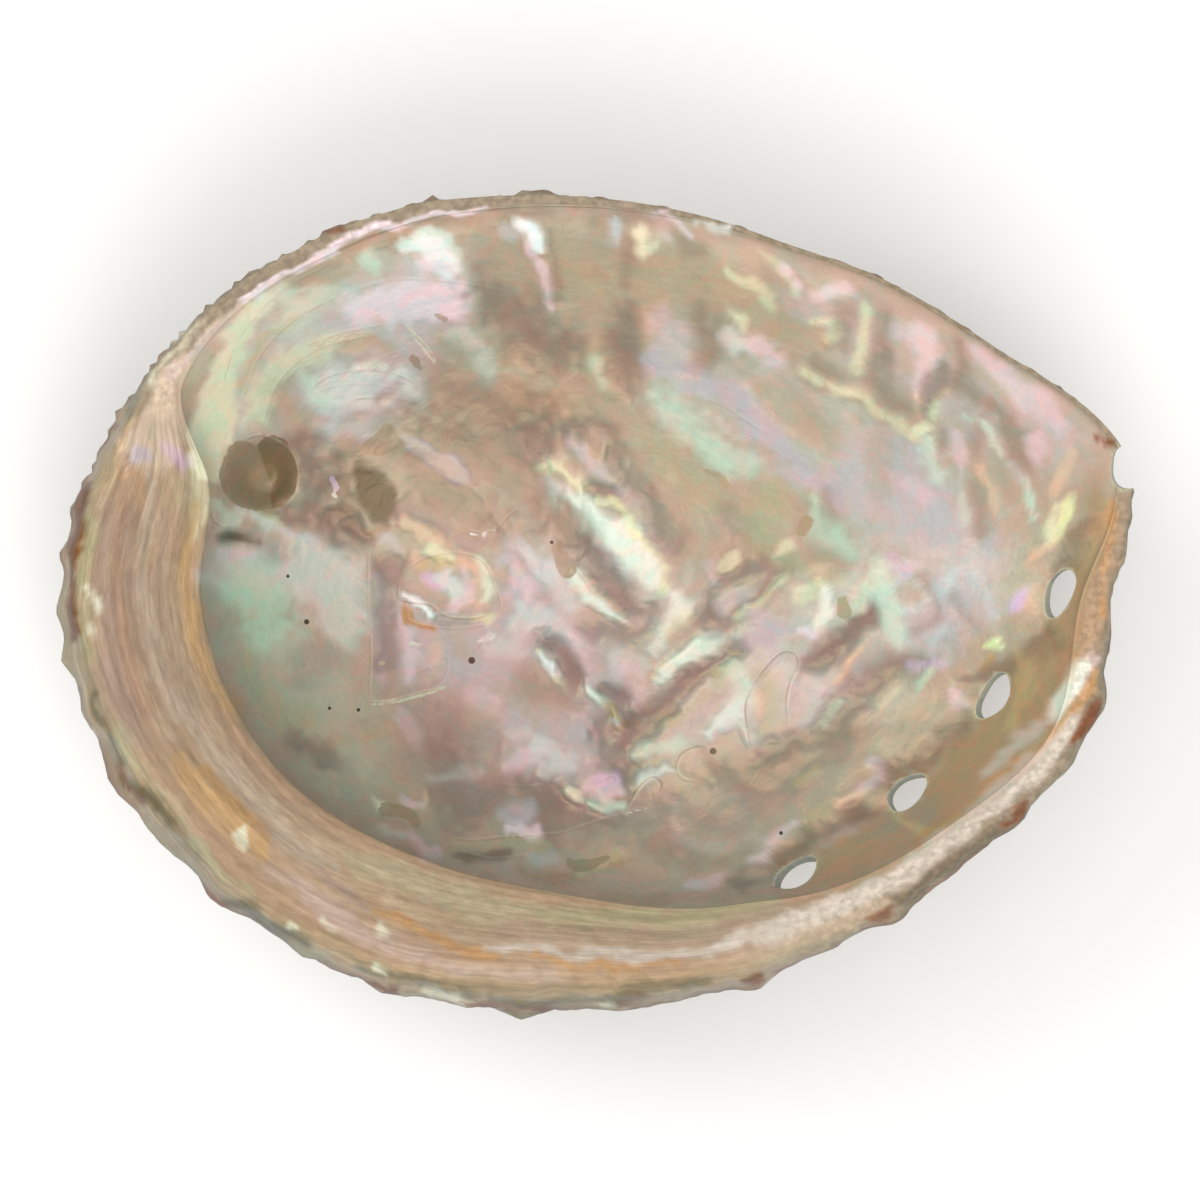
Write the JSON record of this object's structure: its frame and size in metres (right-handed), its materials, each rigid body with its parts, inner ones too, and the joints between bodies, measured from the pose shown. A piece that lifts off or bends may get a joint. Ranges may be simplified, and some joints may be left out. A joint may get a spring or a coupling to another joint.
{
  "type": "abalone shell",
  "caption": "Ear-shaped sea shell with a nacre-lined open bowl, a sloping shelf along one side, a low spire and a row of breathing holes.",
  "frame": {"origin": "middle of the shell's box, at the ground it rests on", "axes": "+X towards the front end, where the notch is; +Y towards the thin outer lip; +Z out of the open bowl. The shell lies on its back."},
  "size_m": [0.1096, 0.0834, 0.0294],
  "materials": {
    "nacre": "iridescent mother of pearl inside, satin; rough, chalky outer layer on the back and the rim"
  },
  "bodies": {
    "root": {"shell": "nacre"}
  },
  "joints": []
}
